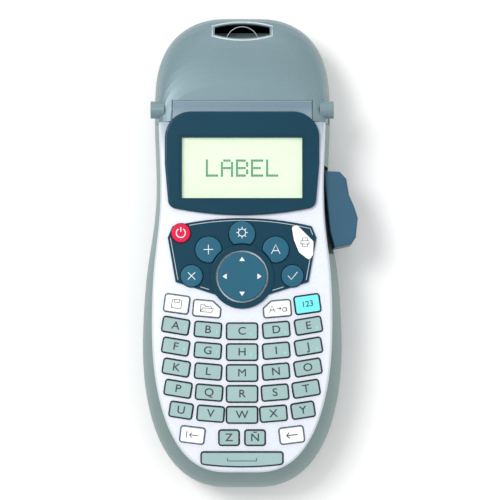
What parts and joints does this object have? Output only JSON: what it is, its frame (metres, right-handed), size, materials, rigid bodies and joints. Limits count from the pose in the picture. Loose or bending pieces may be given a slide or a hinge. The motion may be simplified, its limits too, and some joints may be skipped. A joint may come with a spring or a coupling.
{
  "type": "label maker",
  "caption": "Hand-held label maker lying on its back, with a small keypad, display with a dark surround, hinged tape lid with a window and a side cutter lever.",
  "frame": {"origin": "centre of the flat back, halfway along the casing", "axes": "+Y toward the head with the tape lid, +X to the right as the keys are read, +Z out of the keypad"},
  "size_m": [0.0911, 0.2, 0.0382],
  "materials": {
    "key_grey": "matt",
    "key_white": "satin",
    "key_teal": "satin",
    "key_cyan": "satin",
    "key_red": "satin",
    "rear_green": "satin",
    "silver": "metallic paint",
    "lid_grey": "metallic paint",
    "fascia_dark": "gloss",
    "lcd": "polarised",
    "board": "solder mask",
    "mat": "matt",
    "cell": "sleeved",
    "spring_steel": "plated",
    "motor_steel": "plated",
    "gear_white": "moulded",
    "roller": "matt",
    "head_ceramic": "ceramic face",
    "lever_blue": "gloss",
    "blade": "ground",
    "cassette": "moulded",
    "screw": "zinc"
  },
  "bodies": {
    "case": {"rear_shell": "rear_green", "front_shell": "silver", "fascia": "fascia_dark", "lcd_module": "lcd", "main_board": "board", "keypad_mat": "mat", "batteries": "cell", "battery_contacts": "spring_steel", "drive_motor": "motor_steel", "print_head": "head_ceramic", "tape_cassette": "cassette", "case_screws": "screw"},
    "lid": {"tape_lid": "lid_grey"},
    "lever": {"cutter_lever": "lever_blue", "cutter_blade": "blade"},
    "door": {"battery_door": "rear_green"},
    "platen": {"platen_roller": "roller"},
    "pinion": {"motor_pinion": "gear_white"},
    "key_a_cap": {"key_a": "key_grey"},
    "key_b_cap": {"key_b": "key_grey"},
    "key_c_cap": {"key_c": "key_grey"},
    "key_d_cap": {"key_d": "key_grey"},
    "key_e_cap": {"key_e": "key_grey"},
    "key_f_cap": {"key_f": "key_grey"},
    "key_g_cap": {"key_g": "key_grey"},
    "key_h_cap": {"key_h": "key_grey"},
    "key_i_cap": {"key_i": "key_grey"},
    "key_j_cap": {"key_j": "key_grey"},
    "key_k_cap": {"key_k": "key_grey"},
    "key_l_cap": {"key_l": "key_grey"},
    "key_m_cap": {"key_m": "key_grey"},
    "key_n_cap": {"key_n": "key_grey"},
    "key_o_cap": {"key_o": "key_grey"},
    "key_p_cap": {"key_p": "key_grey"},
    "key_q_cap": {"key_q": "key_grey"},
    "key_r_cap": {"key_r": "key_grey"},
    "key_s_cap": {"key_s": "key_grey"},
    "key_t_cap": {"key_t": "key_grey"},
    "key_u_cap": {"key_u": "key_grey"},
    "key_v_cap": {"key_v": "key_grey"},
    "key_w_cap": {"key_w": "key_grey"},
    "key_x_cap": {"key_x": "key_grey"},
    "key_y_cap": {"key_y": "key_grey"},
    "key_z_cap": {"key_z": "key_grey"},
    "key_n_tilde_cap": {"key_n_tilde": "key_grey"},
    "key_space_cap": {"key_space": "key_grey"},
    "key_num_lock_cap": {"key_num_lock": "key_cyan"},
    "key_on_off_cap": {"key_on_off": "key_red"},
    "key_print_cap": {"key_print": "key_white"},
    "key_save_cap": {"key_save": "key_white"},
    "key_open_cap": {"key_open": "key_white"},
    "key_caps_cap": {"key_caps": "key_white"},
    "key_clear_cap": {"key_clear": "key_white"},
    "key_backspace_cap": {"key_backspace": "key_white"},
    "key_settings_cap": {"key_settings": "key_teal"},
    "key_insert_cap": {"key_insert": "key_teal"},
    "key_format_cap": {"key_format": "key_teal"},
    "key_cancel_cap": {"key_cancel": "key_teal"},
    "key_ok_cap": {"key_ok": "key_teal"},
    "key_dial_cap": {"key_dial": "key_teal"}
  },
  "joints": [
    {"name": "lid_hinge", "type": "hinge", "parent": "case", "child": "lid", "pos_m": [0, 0.059, 0.0328], "axis": [1, 0, 0], "range_deg": [0, 60]},
    {"name": "cutter_pivot", "type": "hinge", "parent": "case", "child": "lever", "pos_m": [0.032, 0.048, 0.02], "axis": [0, 0, -1], "range_deg": [0, 8], "stiffness_Nm_per_rad": 0.5},
    {"name": "door_slide", "type": "slide", "parent": "case", "child": "door", "axis": [0, -1, 0], "range_m": [0, 0.02]},
    {"name": "platen_spin", "type": "hinge", "parent": "case", "child": "platen", "pos_m": [0.022, 0.078, 0.02], "axis": [0, 0, 1], "continuous": true},
    {"name": "pinion_spin", "type": "hinge", "parent": "case", "child": "pinion", "pos_m": [0.0117, 0.078, 0.008], "axis": [0, 0, 1], "continuous": true},
    {"name": "a_press", "type": "slide", "parent": "case", "child": "key_a_cap", "axis": [0, 0, -1], "range_m": [0, 0.0009], "stiffness_N_per_m": 400},
    {"name": "b_press", "type": "slide", "parent": "case", "child": "key_b_cap", "axis": [0, 0, -1], "range_m": [0, 0.0009], "stiffness_N_per_m": 400},
    {"name": "c_press", "type": "slide", "parent": "case", "child": "key_c_cap", "axis": [0, 0, -1], "range_m": [0, 0.0009], "stiffness_N_per_m": 400},
    {"name": "d_press", "type": "slide", "parent": "case", "child": "key_d_cap", "axis": [0, 0, -1], "range_m": [0, 0.0009], "stiffness_N_per_m": 400},
    {"name": "e_press", "type": "slide", "parent": "case", "child": "key_e_cap", "axis": [0, 0, -1], "range_m": [0, 0.0009], "stiffness_N_per_m": 400},
    {"name": "f_press", "type": "slide", "parent": "case", "child": "key_f_cap", "axis": [0, 0, -1], "range_m": [0, 0.0009], "stiffness_N_per_m": 400},
    {"name": "g_press", "type": "slide", "parent": "case", "child": "key_g_cap", "axis": [0, 0, -1], "range_m": [0, 0.0009], "stiffness_N_per_m": 400},
    {"name": "h_press", "type": "slide", "parent": "case", "child": "key_h_cap", "axis": [0, 0, -1], "range_m": [0, 0.0009], "stiffness_N_per_m": 400},
    {"name": "i_press", "type": "slide", "parent": "case", "child": "key_i_cap", "axis": [0, 0, -1], "range_m": [0, 0.0009], "stiffness_N_per_m": 400},
    {"name": "j_press", "type": "slide", "parent": "case", "child": "key_j_cap", "axis": [0, 0, -1], "range_m": [0, 0.0009], "stiffness_N_per_m": 400},
    {"name": "k_press", "type": "slide", "parent": "case", "child": "key_k_cap", "axis": [0, 0, -1], "range_m": [0, 0.0009], "stiffness_N_per_m": 400},
    {"name": "l_press", "type": "slide", "parent": "case", "child": "key_l_cap", "axis": [0, 0, -1], "range_m": [0, 0.0009], "stiffness_N_per_m": 400},
    {"name": "m_press", "type": "slide", "parent": "case", "child": "key_m_cap", "axis": [0, 0, -1], "range_m": [0, 0.0009], "stiffness_N_per_m": 400},
    {"name": "n_press", "type": "slide", "parent": "case", "child": "key_n_cap", "axis": [0, 0, -1], "range_m": [0, 0.0009], "stiffness_N_per_m": 400},
    {"name": "o_press", "type": "slide", "parent": "case", "child": "key_o_cap", "axis": [0, 0, -1], "range_m": [0, 0.0009], "stiffness_N_per_m": 400},
    {"name": "p_press", "type": "slide", "parent": "case", "child": "key_p_cap", "axis": [0, 0, -1], "range_m": [0, 0.0009], "stiffness_N_per_m": 400},
    {"name": "q_press", "type": "slide", "parent": "case", "child": "key_q_cap", "axis": [0, 0, -1], "range_m": [0, 0.0009], "stiffness_N_per_m": 400},
    {"name": "r_press", "type": "slide", "parent": "case", "child": "key_r_cap", "axis": [0, 0, -1], "range_m": [0, 0.0009], "stiffness_N_per_m": 400},
    {"name": "s_press", "type": "slide", "parent": "case", "child": "key_s_cap", "axis": [0, 0, -1], "range_m": [0, 0.0009], "stiffness_N_per_m": 400},
    {"name": "t_press", "type": "slide", "parent": "case", "child": "key_t_cap", "axis": [0, 0, -1], "range_m": [0, 0.0009], "stiffness_N_per_m": 400},
    {"name": "u_press", "type": "slide", "parent": "case", "child": "key_u_cap", "axis": [0, 0, -1], "range_m": [0, 0.0009], "stiffness_N_per_m": 400},
    {"name": "v_press", "type": "slide", "parent": "case", "child": "key_v_cap", "axis": [0, 0, -1], "range_m": [0, 0.0009], "stiffness_N_per_m": 400},
    {"name": "w_press", "type": "slide", "parent": "case", "child": "key_w_cap", "axis": [0, 0, -1], "range_m": [0, 0.0009], "stiffness_N_per_m": 400},
    {"name": "x_press", "type": "slide", "parent": "case", "child": "key_x_cap", "axis": [0, 0, -1], "range_m": [0, 0.0009], "stiffness_N_per_m": 400},
    {"name": "y_press", "type": "slide", "parent": "case", "child": "key_y_cap", "axis": [0, 0, -1], "range_m": [0, 0.0009], "stiffness_N_per_m": 400},
    {"name": "z_press", "type": "slide", "parent": "case", "child": "key_z_cap", "axis": [0, 0, -1], "range_m": [0, 0.0009], "stiffness_N_per_m": 400},
    {"name": "n_tilde_press", "type": "slide", "parent": "case", "child": "key_n_tilde_cap", "axis": [0, 0, -1], "range_m": [0, 0.0009], "stiffness_N_per_m": 400},
    {"name": "space_press", "type": "slide", "parent": "case", "child": "key_space_cap", "axis": [0, 0, -1], "range_m": [0, 0.0009], "stiffness_N_per_m": 400},
    {"name": "num_lock_press", "type": "slide", "parent": "case", "child": "key_num_lock_cap", "axis": [0, 0, -1], "range_m": [0, 0.0009], "stiffness_N_per_m": 400},
    {"name": "on_off_press", "type": "slide", "parent": "case", "child": "key_on_off_cap", "axis": [0, 0, -1], "range_m": [0, 0.0009], "stiffness_N_per_m": 400},
    {"name": "print_press", "type": "slide", "parent": "case", "child": "key_print_cap", "axis": [0, 0, -1], "range_m": [0, 0.0009], "stiffness_N_per_m": 400},
    {"name": "save_press", "type": "slide", "parent": "case", "child": "key_save_cap", "axis": [0, 0, -1], "range_m": [0, 0.0009], "stiffness_N_per_m": 400},
    {"name": "open_press", "type": "slide", "parent": "case", "child": "key_open_cap", "axis": [0, 0, -1], "range_m": [0, 0.0009], "stiffness_N_per_m": 400},
    {"name": "caps_press", "type": "slide", "parent": "case", "child": "key_caps_cap", "axis": [0, 0, -1], "range_m": [0, 0.0009], "stiffness_N_per_m": 400},
    {"name": "clear_press", "type": "slide", "parent": "case", "child": "key_clear_cap", "axis": [0, 0, -1], "range_m": [0, 0.0009], "stiffness_N_per_m": 400},
    {"name": "backspace_press", "type": "slide", "parent": "case", "child": "key_backspace_cap", "axis": [0, 0, -1], "range_m": [0, 0.0009], "stiffness_N_per_m": 400},
    {"name": "settings_press", "type": "slide", "parent": "case", "child": "key_settings_cap", "axis": [0, 0, -1], "range_m": [0, 0.0009], "stiffness_N_per_m": 400},
    {"name": "insert_press", "type": "slide", "parent": "case", "child": "key_insert_cap", "axis": [0, 0, -1], "range_m": [0, 0.0009], "stiffness_N_per_m": 400},
    {"name": "format_press", "type": "slide", "parent": "case", "child": "key_format_cap", "axis": [0, 0, -1], "range_m": [0, 0.0009], "stiffness_N_per_m": 400},
    {"name": "cancel_press", "type": "slide", "parent": "case", "child": "key_cancel_cap", "axis": [0, 0, -1], "range_m": [0, 0.0009], "stiffness_N_per_m": 400},
    {"name": "ok_press", "type": "slide", "parent": "case", "child": "key_ok_cap", "axis": [0, 0, -1], "range_m": [0, 0.0009], "stiffness_N_per_m": 400},
    {"name": "dial_rock", "type": "hinge", "parent": "case", "child": "key_dial_cap", "pos_m": [0, -0.0112, 0.036], "axis": [1, 0, 0], "range_deg": [-2.5, 2.5], "stiffness_Nm_per_rad": 0.05}
  ],
  "couplings": [
    {"joint": "pinion_spin", "follows": "platen_spin", "ratio": -2.4}
  ]
}
